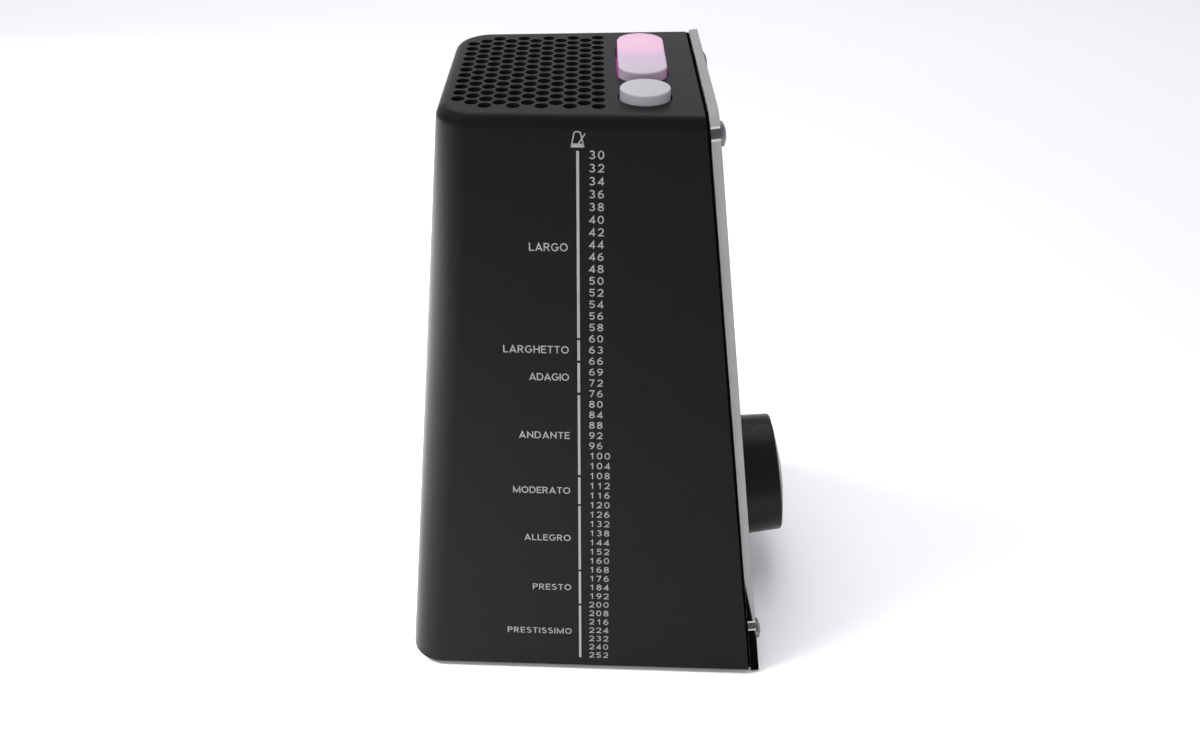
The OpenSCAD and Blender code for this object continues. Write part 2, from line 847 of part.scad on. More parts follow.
module start_button() {
    cap_h = top_z + button_rise - flange_z;
    color("#ececee") {
        translate([start_x, button_y, flange_z]) difference() {
            union() {
                oblong(start_len, button_w, cap_h);
                oblong(start_len + 2 * flange_wide, button_w + 2 * flange_wide, flange_t);
            }
            translate([0, 0, -1]) oblong(start_len - 2.4, button_w - 2.4, cap_h + 1 - button_skin);
        }
        translate([switch_x[0], button_y, stem_z]) cylinder(r = stem_r, h = top_z - stem_z + 1);
    }
}

module tap_button() {
    cap_h = top_z + button_rise - flange_z;
    color("#ececee") translate([tap_x, button_y, 0]) {
        difference() {
            translate([0, 0, flange_z]) {
                cylinder(r = button_r, h = cap_h);
                cylinder(r = button_r + flange_wide, h = flange_t);
            }
            translate([0, 0, flange_z - 1]) cylinder(r = button_r - 1.2, h = cap_h + 1 - button_skin);
        }
        translate([0, 0, stem_z]) cylinder(r = stem_r, h = top_z - stem_z + 1);
    }
}

// ---- Battery compartment ----

module battery_tray() {
    outer = [tray_w + 2 * tray_wall, tray_h + 2 * tray_wall];
    color("#1f1f21") on_back() {
        translate([0, -wall - tray_depth - tray_wall, -tray_mid]) difference() {
            translate([-outer.x / 2, 0, -outer.y / 2])
                cube([outer.x, tray_depth + tray_wall - eps, outer.y]);
            translate([-tray_w / 2, tray_wall, -tray_h / 2]) cube([tray_w, tray_depth + 1, tray_h]);
        }
        // Tabs that the tray screws go through
        difference() {
            each_tray_screw() translate([-3, -wall - 3 - tray_tab_t, -3]) cube([6, tray_tab_t, 6]);
            each_tray_screw() translate([0, -wall - 3 - tray_tab_t - 1, 0]) rod_y(0.9, tray_tab_t + 2);
        }
    }
}

module battery_tray_screws() {
    color("#8b8c90") on_back() each_tray_screw()
        translate([0, -wall - 3 - tray_tab_t, 0]) rotate([90, 0, 0]) pan_screw(0.7, 4.2, 1.6, 1);
}

// Middle of a cell's length, with x along the cell towards its nub
module on_cell(i) {
    on_back() translate([0, -cell_depth, -tray_mid + i * cell_pitch])
        rotate([0, 0, i % 2 == 0 ? 0 : 180]) children();
}

module battery_cell(i) {
    nub = 1;
    color("#5a6470") on_cell(i) translate([cell_start, 0, 0]) {
        rod_x(cell_d / 2, cell_len - nub);
        translate([cell_len - nub - eps, 0, 0]) rod_x(1.9, nub + eps);
    }
}

// Cone spring of stacked turns between the tray's end and the flat end of a cell
module battery_springs() {
    first = contact_t + spring_wire_r * 0.6;
    last = tray_w / 2 + cell_start - spring_wire_r;
    color("#c9cbce") for (i = [-1:1]) on_cell(i) translate([-tray_w / 2, 0, 0]) {
        translate([0, -4, -4]) cube([contact_t, 8, 8]);
        for (k = [0:spring_turns - 1])
            translate([first + k * (last - first) / (spring_turns - 1), 0, 0]) rotate([0, 90, 0])
                rotate_extrude() translate([3.4 - 0.22 * k, 0]) circle(r = spring_wire_r, $fn = 16);
    }
}

module battery_contacts() {
    color("#c9cbce") for (i = [-1:1]) on_cell(i) translate([tray_w / 2 - contact_t, -4, -4])
        cube([contact_t, 8, 8]);
}

module battery_door() {
    color("#262628") on_back() translate([0, 0, -door_bottom]) {
        translate([-door_w / 2, -door_t, pin_depth]) cube([door_w, door_t, door_h - pin_depth]);
        translate([-door_w / 2, -pin_depth, pin_depth]) rod_x(pin_depth, door_w);
        translate([-door_w / 2 - pin_len, -pin_depth, pin_depth]) rod_x(pin_r, door_w + 2 * pin_len);
        // Grip ridges below the thumb scoop
        for (k = [0:3])
            translate([-7, -0.05, door_h - 9 + 1.6 * k]) cube([14, 0.45, 0.7]);
    }
}

// ---- Side board ----

module side_board() {
    color("#1d5a34") on_side() difference() {
        translate([-wall - side_board_gap - side_board_w, side_board_mid - side_board_len / 2,
            -side_board_down - side_board_t])
            cube([side_board_w, side_board_len, side_board_t]);
        translate([wheel_x, wheel_y, -side_board_down - side_board_t - 1])
            cylinder(r = wheel_pin_r + 0.1, h = side_board_t + 2, $fn = 24);
    }
}

module phones_jack() {
    color("#1b1b1d") on_side() translate([-wall - 0.3, jack_y, -side_board_down + jack_w / 2])
        difference() {
            union() {
                translate([-jack_len + wall + 0.3, -jack_w / 2, -jack_w / 2])
                    cube([jack_len - wall - 0.3, jack_w, jack_w]);
                rod_x(jack_nose_r, wall + 0.3);
            }
            translate([-jack_len + wall + 0.3 + 1, 0, 0]) rod_x(jack_bore_r, jack_len + 2);
        }
}

module volume_pot() {
    color("#8e9094") on_side() translate([wheel_x, wheel_y, -side_board_down]) {
        cylinder(r = 3.9, h = wheel_lift - 0.2);
        translate([0, 0, -side_board_t])
            cylinder(r = wheel_pin_r, h = side_board_t + wheel_lift + wheel_t + 0.4);
        translate([0, 0, wheel_lift + wheel_t + 0.2]) cylinder(r = 2.2, h = 0.6);
    }
}

module volume_wheel() {
    color("#2d2d30") on_side() translate([wheel_x, wheel_y, -side_board_down + wheel_lift]) difference() {
        cylinder(r = wheel_r, h = wheel_t, $fn = 96);
        translate([0, 0, -1]) cylinder(r = wheel_pin_r + fit_gap, h = wheel_t + 2);
        for (i = [0:ridge_count - 1])
            rotate([0, 0, i * 360 / ridge_count]) translate([wheel_r + 0.15, 0, -1])
                cylinder(r = 0.5, h = wheel_t + 2, $fn = 16);
    }
}

// ---- Cables held inside ----

// Flat cable from the button board down to the front board
module board_cable() {
    color("#9aa0a6") for (i = [0:5])
        wire([
            [2 + i, front_y + 8.8, board_top - button_board_t - 0.4],
            [2 + i, front_y + 11.3, board_top - button_board_t - 6],
            [2 + i, front_y + 8.3, board_top - button_board_t - 12.6]
        ], 0.45);
}

module speaker_leads() {
    color("#a8322c") for (i = [0, 1])
        wire([
            [-5 - 2 * i, front_y + 21.6, speaker_z - 4],
            [-5 - 2 * i, front_y + 20.3, speaker_z - 13],
            [-5 - 2 * i, front_y + 16.3, speaker_z - 22],
            [-5 - 2 * i, front_y + 7.5, speaker_z - 27.2]
        ], 0.55);
}

module battery_leads() {
    color("#a8322c") for (i = [0, 1])
        wire([
            [-20 - 2 * i, back_y - 8.6, 46],
            [-20 - 2 * i, front_y + 28, 60],
            [-20 - 2 * i, front_y + 2.7, 62]
        ], 0.55);
}

body_shell();
base_cover();
base_screws();
rubber_foot(-1, -1);  // foot_front_left
rubber_foot(1, -1);  // foot_front_right
rubber_foot(-1, 1);  // foot_back_left
rubber_foot(1, 1);  // foot_back_right
front_sheet();
acrylic_plate();
plate_screws();
plate_inserts();
front_board();
front_board_screws();
tempo_display();
pendulum_leds();
controller_chip();
amplifier_chip();
quartz_crystal();
capacitors();
encoder_body();
encoder_bushing();
encoder_washer();
encoder_nut();
encoder_shaft();
tempo_dial();
grille_cloth();
speaker_gasket();
speaker_basket();
speaker_surround();
speaker_cone();
speaker_dust_cap();
speaker_magnet();
speaker_yoke();
speaker_bracket();
speaker_screws();
button_board();
button_board_screws();
tact_switch(switch_x[0]);  // start_switch
tact_switch(switch_x[1]);  // tap_switch
beat_led();
start_button();
tact_plunger(switch_x[0]);  // start_plunger
tap_button();
tact_plunger(switch_x[1]);  // tap_plunger
battery_tray();
battery_tray_screws();
battery_springs();
battery_contacts();
battery_cell(-1);  // battery_1
battery_cell(0);  // battery_2
battery_cell(1);  // battery_3
battery_door();
side_board();
phones_jack();
volume_pot();
volume_wheel();
board_cable();
speaker_leads();
battery_leads();
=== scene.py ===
"""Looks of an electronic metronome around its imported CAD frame. All lengths below are in millimetres."""
import json
import math

import bmesh
import bpy
from mathutils import Matrix, Vector


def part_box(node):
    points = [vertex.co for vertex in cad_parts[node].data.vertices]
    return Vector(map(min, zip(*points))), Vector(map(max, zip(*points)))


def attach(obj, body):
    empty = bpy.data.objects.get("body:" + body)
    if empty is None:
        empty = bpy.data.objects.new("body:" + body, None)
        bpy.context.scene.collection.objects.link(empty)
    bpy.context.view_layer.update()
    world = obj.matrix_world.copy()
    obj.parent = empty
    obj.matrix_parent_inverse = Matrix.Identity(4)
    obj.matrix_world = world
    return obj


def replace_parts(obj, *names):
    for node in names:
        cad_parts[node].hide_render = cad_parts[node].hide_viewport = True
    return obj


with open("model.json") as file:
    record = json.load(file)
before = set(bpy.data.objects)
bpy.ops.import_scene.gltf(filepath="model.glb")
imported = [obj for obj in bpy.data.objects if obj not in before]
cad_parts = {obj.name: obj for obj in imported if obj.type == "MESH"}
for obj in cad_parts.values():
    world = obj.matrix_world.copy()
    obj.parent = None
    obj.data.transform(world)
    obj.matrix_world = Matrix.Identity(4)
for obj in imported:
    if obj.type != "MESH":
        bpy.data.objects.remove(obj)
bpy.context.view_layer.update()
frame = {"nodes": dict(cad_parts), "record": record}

MM = 0.001
NODES = frame["nodes"]

# ---- Places that repeat the CAD's own numbers ----

TOP_Z = 131.5
BODY_H, TOP_W, TOP_D = 130, 54.6, 50
FRONT_LEAN, BACK_LEAN = math.radians(6.95), math.radians(6.38)
SIDE_LEAN, SIDE_TURN = math.radians(6.66), math.radians(2.49)
BACK_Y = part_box("body_shell")[1].y / MM - BODY_H * math.tan(BACK_LEAN)
FRONT_Y = BACK_Y - TOP_D
RIM_R = 2.7
# Setback of the rim rounding for its radius, where a wall leaning 6.6 degrees meets the top
RIM_SETBACK = math.tan(math.radians(41.7))
BUTTON_Y = FRONT_Y + 10.6
PINK_X, PINK_REACH = 12.5, 24
SHEET_T, PLATE_T = 0.6, 1.9
PLATE_RISE, SCREW_INSET = 0.6, 6.5
PLATE_LOW = BODY_H / math.cos(FRONT_LEAN) + 1.1
DISPLAY_DOWN = 76
PENDULUM_R, PENDULUM_DOWN = 44, 68
DOOR_BOTTOM = BODY_H / math.cos(BACK_LEAN) - 14
TRAY_MID = DOOR_BOTTOM - 18
SIDE_BOARD_DOWN = 58
JACK_Y, JACK_UP = 25, 3.5

front_frame = Matrix.Translation((0, FRONT_Y, TOP_Z)) @ Matrix.Rotation(-FRONT_LEAN, 4, "X")
back_frame = Matrix.Translation((0, BACK_Y, TOP_Z)) @ Matrix.Rotation(BACK_LEAN, 4, "X")
right_frame = (Matrix.Translation((TOP_W / 2, FRONT_Y, TOP_Z)) @ Matrix.Rotation(SIDE_TURN, 4, "Z")
               @ Matrix.Rotation(-SIDE_LEAN, 4, "Y"))
# Print on the left wall: x runs towards the front, y up the wall, z out of it
mirror_x = Matrix.Diagonal((-1, 1, 1, 1))
left_frame = mirror_x @ right_frame @ Matrix(((0, 0, 1, 0), (-1, 0, 0, 0), (0, 1, 0, 0), (0, 0, 0, 1)))


# ---- Materials ----

def node_of(tree, kind, **values):
    made = tree.nodes.new(kind)
    for key, value in values.items():
        if hasattr(made, key):
            setattr(made, key, value)
        else:
            made.inputs[key.replace("_", " ")].default_value = value
    return made


def noise_of(tree, coords, scale, detail=3.0, rough=0.5):
    made = node_of(tree, "ShaderNodeTexNoise")
    made.inputs["Scale"].default_value = scale
    made.inputs["Detail"].default_value = detail
    made.inputs["Roughness"].default_value = rough
    tree.links.new(coords, made.inputs["Vector"])
    return made.outputs["Fac"]


def span(tree, value, low, high, to_low, to_high):
    made = node_of(tree, "ShaderNodeMapRange")
    for name, x in (("From Min", low), ("From Max", high), ("To Min", to_low), ("To Max", to_high)):
        made.inputs[name].default_value = x
    tree.links.new(value, made.inputs["Value"])
    return made.outputs["Result"]


def blend_colour(tree, share, a, b):
    made = tree.nodes.new("ShaderNodeMix")
    made.data_type = "RGBA"
    tree.links.new(share, made.inputs["Factor"])
    for socket, value in ((made.inputs["A"], a), (made.inputs["B"], b)):
        socket = [s for s in made.inputs if s.name == socket.name and s.type == "RGBA"][0]
        if isinstance(value, tuple):
            socket.default_value = (*value, 1)
        else:
            tree.links.new(value, socket)
    return [s for s in made.outputs if s.type == "RGBA"][0]


def surface(name, colour, rough, mottle=0.1, mottle_scale=160, grain=3500, bump=0.012, spread=0.05,
            wear=0.0, wear_colour=(0.2, 0.2, 0.2), **sockets):
    """A moulded, painted or metal finish: drifting colour, uneven gloss, fine relief and worn edges."""
    m = bpy.data.materials.new(name)
    m.use_nodes = True
    t = m.node_tree
    shader = t.nodes["Principled BSDF"]
    for key, value in sockets.items():
        shader.inputs[key.replace("_", " ")].default_value = value
    place = t.nodes.new("ShaderNodeTexCoord").outputs["Object"]
    drift = noise_of(t, place, mottle_scale, 4)
    dark, light = (tuple(c * k for c in colour) for k in (1 - mottle, 1 + mottle))
    tone = blend_colour(t, span(t, drift, 0.3, 0.7, 0, 1), dark, light)
    if wear:
        edge = span(t, t.nodes.new("ShaderNodeNewGeometry").outputs["Pointiness"], 0.53, 0.62, 0, wear)
        patchy = t.nodes.new("ShaderNodeMath")
        patchy.operation = "MULTIPLY"
        t.links.new(edge, patchy.inputs[0])
        t.links.new(span(t, noise_of(t, place, 420, 3), 0.35, 0.65, 0.2, 1), patchy.inputs[1])
        tone = blend_colour(t, patchy.outputs[0], tone, wear_colour)
    t.links.new(tone, shader.inputs["Base Color"])
    t.links.new(span(t, noise_of(t, place, grain * 0.2, 3), 0.3, 0.7, rough - spread, rough + spread),
                shader.inputs["Roughness"])
    relief = t.nodes.new("ShaderNodeBump")
    relief.inputs["Strength"].default_value = 0.6
    relief.inputs["Distance"].default_value = bump * MM
    t.links.new(noise_of(t, place, grain, 2), relief.inputs["Height"])
    t.links.new(relief.outputs["Normal"], shader.inputs["Normal"])
    return m


MILKY = (0.345, 0.34, 0.358)
SOFT_BLACK = (0.0042, 0.0042, 0.0044)
DIAL_BLACK = (0.0045, 0.0045, 0.0047)
FINISHES = {
    "black_plastic": surface("black_plastic", SOFT_BLACK, 0.3, mottle=0.015, bump=0.005, spread=0.015,
                             Specular_IOR_Level=0.09),
    "dial_plastic": surface("dial_plastic", DIAL_BLACK, 0.3, mottle=0.04, Specular_IOR_Level=0.15),
    "white_plastic": surface("white_plastic", MILKY, 0.42, mottle=0.02, Subsurface_Weight=0.15,
                             Subsurface_Scale=0.0015, Specular_IOR_Level=0.3),
    "black_film": surface("black_film", (0.004, 0.004, 0.0045), 0.14, bump=0.002, spread=0.03),
    "dark_steel": surface("dark_steel", (0.17, 0.17, 0.175), 0.34, Metallic=1.0, mottle=0.2, wear=0.5,
                          wear_colour=(0.35, 0.35, 0.36)),
    "steel": surface("steel", (0.52, 0.52, 0.53), 0.32, Metallic=1.0, mottle=0.15),
    "brass": surface("brass", (0.62, 0.45, 0.19), 0.3, Metallic=1.0, mottle=0.15),
    "rubber": surface("rubber", (0.014, 0.014, 0.014), 0.8, grain=1800, bump=0.03, Specular_IOR_Level=0.25),
    "circuit_board": surface("circuit_board", (0.012, 0.085, 0.035), 0.35, mottle=0.25, mottle_scale=700),
    "chip_resin": surface("chip_resin", (0.016, 0.016, 0.018), 0.55, grain=5000, bump=0.02),
    "red_display": surface("red_display", (0.03, 0.004, 0.004), 0.15, bump=0.002, spread=0.03),
    "red_lens": surface("red_lens", (0.42, 0.02, 0.02), 0.12, bump=0.002, Transmission_Weight=0.35),
    "white_lens": surface("white_lens", (0.85, 0.8, 0.83), 0.2, bump=0.002, mottle=0.03),
    "blue_sleeve": surface("blue_sleeve", (0.02, 0.035, 0.1), 0.3, bump=0.01),
    "foam": surface("foam", (0.02, 0.02, 0.021), 0.9, grain=2600, bump=0.2, mottle=0.35, mottle_scale=2200),
    "cone_paper": surface("cone_paper", (0.03, 0.027, 0.023), 0.85, grain=1500, bump=0.08, mottle=0.2),
    "ferrite": surface("ferrite", (0.035, 0.035, 0.037), 0.6, grain=1500, bump=0.05, mottle=0.15),
    "battery_label": surface("battery_label", (0.07, 0.1, 0.16), 0.25, bump=0.004, mottle=0.06),
    "grey_wire": surface("grey_wire", (0.28, 0.3, 0.32), 0.45),
    "red_wire": surface("red_wire", (0.35, 0.02, 0.015), 0.4),
}


def woven_cloth():
    """Fine black speaker cloth: two crossed sets of threads as colour and relief."""
    m = surface("black_cloth", (0.004, 0.004, 0.004), 0.9, bump=0.02, Specular_IOR_Level=0.0)
    t = m.node_tree
    place = [n for n in t.nodes if n.type == "TEX_COORD"][0].outputs["Object"]
    heights = []
    for axis in ("X", "Y"):
        wave = node_of(t, "ShaderNodeTexWave", bands_direction=axis)
        wave.inputs["Scale"].default_value = 420
        wave.inputs["Distortion"].default_value = 0.4
        t.links.new(place, wave.inputs["Vector"])
        heights.append(wave.outputs["Fac"])
    both = t.nodes.new("ShaderNodeMath")
    both.operation = "MAXIMUM"
    for i, h in enumerate(heights):
        t.links.new(h, both.inputs[i])
    relief = t.nodes.new("ShaderNodeBump")
    relief.inputs["Distance"].default_value = 0.1 * MM
    t.links.new(both.outputs[0], relief.inputs["Height"])
    shader = t.nodes["Principled BSDF"]
    t.links.new(relief.outputs["Normal"], shader.inputs["Normal"])
    t.links.new(blend_colour(t, both.outputs[0], (0.003, 0.003, 0.003), (0.011, 0.011, 0.011)),
                shader.inputs["Base Color"])
    return m


def clear_acrylic(name="clear_acrylic", tint=(0.97, 0.98, 0.98), clear=1.0, rough=0.0):
    m = bpy.data.materials.new(name)
    m.use_nodes = True
    t = m.node_tree
    shader = t.nodes["Principled BSDF"]
    shader.inputs["Base Color"].default_value = (*tint, 1)
    shader.inputs["Transmission Weight"].default_value = clear
    shader.inputs["IOR"].default_value = 1.49
    place = t.nodes.new("ShaderNodeTexCoord").outputs["Object"]
    t.links.new(span(t, noise_of(t, place, 900, 4), 0.35, 0.75, rough, rough + 0.05),
                shader.inputs["Roughness"])
    return m


def lit_key():
    """Milky plastic with a pink light under its right half."""
    m = surface("lit_key", MILKY, 0.42, mottle=0.02, Subsurface_Weight=0.15, Subsurface_Scale=0.0015,
                Specular_IOR_Level=0.3, Emission_Strength=1.0)
    t = m.node_tree
    place = [n for n in t.nodes if n.type == "TEX_COORD"][0].outputs["Object"]
    away = node_of(t, "ShaderNodeVectorMath", operation="DISTANCE")
    away.inputs[1].default_value = (PINK_X * MM, BUTTON_Y * MM, (TOP_Z + 0.5) * MM)
    t.links.new(place, away.inputs[0])
    ramp = t.nodes.new("ShaderNodeValToRGB")
    t.links.new(span(t, away.outputs["Value"], 0, PINK_REACH * MM, 0, 1), ramp.inputs["Fac"])
    stops = [(0.0, (0.4, 0.07, 0.22)), (0.2, (0.33, 0.03, 0.17)), (0.5, (0.13, 0.0, 0.11)),
             (1.0, (0.03, 0, 0.02))]
    ramp.color_ramp.interpolation = "EASE"
    for i, (at, colour) in enumerate(stops):
        stop = ramp.color_ramp.elements[i] if i < 2 else ramp.color_ramp.elements.new(at)
        stop.position = at
        stop.color = (*colour, 1)
    t.links.new(ramp.outputs["Color"], t.nodes["Principled BSDF"].inputs["Emission Color"])
    return m


def glowing(name, colour, strength):
    m = surface(name, colour, 0.3, bump=0.002)
    t = m.node_tree
    shader = t.nodes["Principled BSDF"]
    t.links.new(shader.inputs["Base Color"].links[0].from_socket, shader.inputs["Emission Color"])
    shader.inputs["Emission Strength"].default_value = strength
    return m


FINISHES["black_cloth"] = woven_cloth()
FINISHES["clear_acrylic"] = clear_acrylic()
LIT_KEY = lit_key()
# Narrow break round the clear plate, coloured dark grey as a painted reflection of the dark parts behind it
ACRYLIC_ARRIS_PAINTED_REFLECTION = surface("acrylic_arris_painted_reflection", (0.02, 0.02, 0.021), 0.4, bump=0.002, Specular_IOR_Level=0.1)
FILM_EDGE = surface("film_edge", (0.002, 0.002, 0.002), 0.7, Specular_IOR_Level=0.0)
# Walls of the speaker holes: a dull black without reflection, painted shade for the depth of the holes
HOLE_PAINTED_SHADE = surface("hole_painted_shade", (0.008, 0.008, 0.008), 0.7, mottle=0.05, Specular_IOR_Level=0.0)
WHITE_INK = surface("white_ink", (0.235, 0.235, 0.23), 0.5, mottle=0.05, mottle_scale=900, grain=6000,
                    bump=0.004)
GREY_INK = surface("grey_ink", (0.3, 0.3, 0.3), 0.5, mottle=0.05, grain=6000, bump=0.004)
LIT_SEGMENT = glowing("lit_segment", (1.0, 0.06, 0.03), 2.2)
DARK_SEGMENT = surface("dark_segment", (0.05, 0.01, 0.01), 0.3, bump=0.002)


# Painted shade for the dark gap seen through the plate's edge: its top at the sheet, and how far it runs down
# to the outer face
PAINTED_GAP_SHADE_TOP, PAINTED_GAP_SHADE_SLANT = 26, 17
# Painted images of the screw shanks seen through the plate's edge, and how far above the upper and lower
# screws
PAINTED_SHANK_R, PAINTED_SHANK_LIFTS = 1.0, (2.6, 7)


def sawn_edge():
    """Edge of the clear plate: matt grey, with painted shade low down where it looks into the gap under the
    plate. Painted images of the screws' shanks, each in a painted highlight ring, sit as high up as someone
    looking down on it sees them through it."""
    m = surface("acrylic_edge_with_painted_shade", (0.25, 0.25, 0.253), 0.4, mottle=0.03, bump=0.002, spread=0.02,
                Specular_IOR_Level=0)
    t = m.node_tree
    shader = t.nodes["Principled BSDF"]
    tone = shader.inputs["Base Color"].links[0].from_socket
    place = [n for n in t.nodes if n.type == "TEX_COORD"][0].outputs["Object"]

    def along(direction, origin=(0, 0, 0)):
        """Distance of a place from an origin on the front, in millimetres along a direction."""
        made = node_of(t, "ShaderNodeVectorMath", operation="DOT_PRODUCT")
        made.inputs[1].default_value = Vector(direction) / MM
        t.links.new(place, made.inputs[0])
        far = Vector(direction).dot(front_frame @ Vector(origin))
        return span(t, made.outputs["Value"], far - 500, far + 500, -500, 500)

    out, up = (front_frame.to_3x3() @ Vector(v) for v in ((0, -1, 0), (0, 0, 1)))
    slant = PAINTED_GAP_SHADE_SLANT / PLATE_T
    low = along(Vector((0, 0, 1)) + out * slant, (0, -SHEET_T, 0))
    above_painted_gap_shade = span(t, low, PAINTED_GAP_SHADE_TOP - TOP_Z, PAINTED_GAP_SHADE_TOP + 3 - TOP_Z, 0, 1)
    # Painted shade: the edge turns near black below a slanted line, where it looks into the gap
    tone = blend_colour(t, above_painted_gap_shade, (0.002, 0.002, 0.002), tone)
    # Painted shank images: a dark core inside a painted highlight ring, as the shanks look through the
    # acrylic
    for row in (PLATE_RISE - SCREW_INSET + PAINTED_SHANK_LIFTS[0], SCREW_INSET - PLATE_LOW + PAINTED_SHANK_LIFTS[1]):
        away = node_of(t, "ShaderNodeMath", operation="ABSOLUTE")
        t.links.new(along(up, (0, 0, row)), away.inputs[0])
        for reach, colour in ((PAINTED_SHANK_R + 0.35, (0.5, 0.5, 0.51)), (PAINTED_SHANK_R, (0.055, 0.055, 0.056))):
            tone = blend_colour(t, span(t, away.outputs[0], reach - 0.15, reach + 0.1, 1, 0), tone, colour)
    t.links.new(tone, shader.inputs["Base Color"])
    return m


ACRYLIC_EDGE_WITH_PAINTED_SHADE = sawn_edge()
# Finish of the rounded edges, for the two plastics that show wear there
WORN = {
    "black_plastic": surface("worn_black_plastic", SOFT_BLACK, 0.34, mottle=0.03, bump=0.005, wear=0.4,
                             wear_colour=(0.03, 0.03, 0.031), Specular_IOR_Level=0.1),
    "dial_plastic": surface("worn_dial_plastic", DIAL_BLACK, 0.34, mottle=0.04, wear=0.3,
                            wear_colour=(0.03, 0.03, 0.03), Specular_IOR_Level=0.15),
}
SLOT_OF = {p["node"]: p["material_slot"] for p in frame["record"]["subparts"]}


# ---- Shapes ----

def new_piece(name, bm, body, finish, matrix=None, smooth=30, flat_faces=True):
    """Turns a bmesh in metres, or in millimetres with a matrix, into a piece that rides on a body."""
    if matrix is not None:
        bm.transform(Matrix.Diagonal((MM, MM, MM, 1)) @ matrix)
        if matrix.determinant() < 0:
            bmesh.ops.reverse_faces(bm, faces=bm.faces)
    mesh = bpy.data.meshes.new(name)
    bm.to_mesh(mesh)
    bm.free()
    obj = bpy.data.objects.new(name, mesh)
    bpy.context.scene.collection.objects.link(obj)
    for m in finish if isinstance(finish, list) else [finish]:
        mesh.materials.append(m)
    mesh.shade_smooth()
    mesh.set_sharp_from_angle(angle=math.radians(smooth))
    if flat_faces:
        weighted = obj.modifiers.new("weighted", "WEIGHTED_NORMAL")
        weighted.keep_sharp = True
        weighted.weight = 100
    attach(obj, body)
    return obj


def cad_mesh(node):
    """A copy of a CAD node's mesh with shared corners and whole flat faces."""
    bm = bmesh.new()
    bm.from_mesh(NODES[node].data)
    bmesh.ops.remove_doubles(bm, verts=bm.verts, dist=3e-6)
    bmesh.ops.dissolve_limit(bm, angle_limit=math.radians(0.5), use_dissolve_boundaries=False,
                             verts=bm.verts, edges=bm.edges)
    return bm


def round_edges(bm, width, segments=2, angle=28, pick=None, clamp=True, finish=-1):
    edges = [e for e in bm.edges if e.is_manifold and e.calc_face_angle() > math.radians(angle)
             and (pick is None or pick(e))]
    bmesh.ops.bevel(bm, geom=edges, offset=width * MM, offset_type="OFFSET", segments=segments, profile=0.5,
                    affect="EDGES", clamp_overlap=clamp, material=finish)


def refined(node, name, width, segments=2, finish=None, body="housing", shape=None, angle=28, marked=None):
    """A piece that stands for a CAD node, with small rounded edges; marked picks each face's finish."""
    slot = SLOT_OF[node]
    worn = not finish and slot in WORN
    bm = cad_mesh(node)
    if shape:
        shape(bm)
    round_edges(bm, width, segments, angle, finish=1 if worn else 0)
    if marked:
        for f in bm.faces:
            f.material_index = marked(f)
    own = [FINISHES[slot], WORN[slot]] if worn else FINISHES[slot]
    obj = new_piece(name, bm, body, finish or own)
    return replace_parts(obj, node)


# Housing: rounded upper edge, small breaks on the openings
def at_top(v):
    return v.co.z > (TOP_Z - 0.01) * MM


def on_outer_rim(e):
    """True where the top meets the leaning sides or the back, but not at the front or at an opening."""
    if not all(at_top(v) for v in e.verts):
        return False
    wall = min((f.normal for f in e.link_faces), key=lambda n: n.z)
    return 0.05 < wall.z < 0.5 and wall.y > -0.5


def in_speaker_hole(f):
    """True for the walls of the openings in the top."""
    mid = f.calc_center_median() / MM
    half = TOP_W / 2 - math.tan(SIDE_TURN) * (mid.y - FRONT_Y)
    return (abs(f.normal.z) < 0.3 and TOP_Z - 2.6 < mid.z < TOP_Z - 0.15 and abs(mid.x) < half - 3.6
            and FRONT_Y + 16 < mid.y < BACK_Y - 3.6)


shell = cad_mesh("body_shell")
round_edges(shell, RIM_R * RIM_SETBACK, 10, pick=on_outer_rim, clamp=False, finish=0)
round_edges(shell, 0.1, 2, angle=35, finish=1)
# The hole walls take the painted shade finish instead of the shell's plastic
for face in shell.faces:
    if in_speaker_hole(face):
        face.material_index = 2
shell = new_piece("shell_moulding", shell, "housing",
                  [FINISHES["black_plastic"], WORN["black_plastic"], HOLE_PAINTED_SHADE])
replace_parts(shell, "body_shell")

refined("base_cover", "base_moulding", 0.2)
refined("battery_door", "door_moulding", 0.15, body="door")
refined("battery_tray", "tray_moulding", 0.15)
refined("start_button", "start_key_cap", 0.35, 4, finish=LIT_KEY, body="start_key")
refined("tap_button", "tap_key_cap", 0.35, 4, body="tap_key")
refined("plate_screws", "plate_screw_heads", 0.3, 3)
for corner in ("front_left", "front_right", "back_left", "back_right"):
    refined("foot_" + corner, "rubber_foot_" + corner, 0.3, 3)
refined("volume_wheel", "volume_wheel_moulding", 0.08, 1, body="volume_knob")
refined("phones_jack", "phones_socket_moulding", 0.15, 2)
refined("tempo_dial", "tempo_dial_moulding", 0.2, 2, body="tempo_knob")


def clear_of_sheet(bm):
    """Leaves a thin film of air between the clear plate and the sheet behind it."""
    into = front_frame.inverted()
    for v in bm.verts:
        p = into @ (v.co / MM)
        if p.y > -SHEET_T - 0.1:
            p.y = -SHEET_T - 0.04
            v.co = (front_frame @ p) * MM


def part_of_sheet(f):
    """0 for a face along the front, 1 for an edge of the sheet, 2 for the narrow break between the two."""
    along = abs(f.normal.dot(front_frame.to_3x3() @ Vector((0, 1, 0))))
    return 0 if along > 0.98 else 2 if along > 0.3 else 1


# The plate's edge carries painted shade and painted shank images; its narrow break carries a painted dark
# reflection
refined("acrylic_plate", "clear_plate", 0.3, 1, shape=clear_of_sheet, marked=part_of_sheet,
        finish=[FINISHES["clear_acrylic"], ACRYLIC_EDGE_WITH_PAINTED_SHADE, ACRYLIC_ARRIS_PAINTED_REFLECTION])
refined("front_sheet", "front_film", 0.04, 1, finish=[FINISHES["black_film"], FILM_EDGE, FILM_EDGE],
        marked=part_of_sheet)

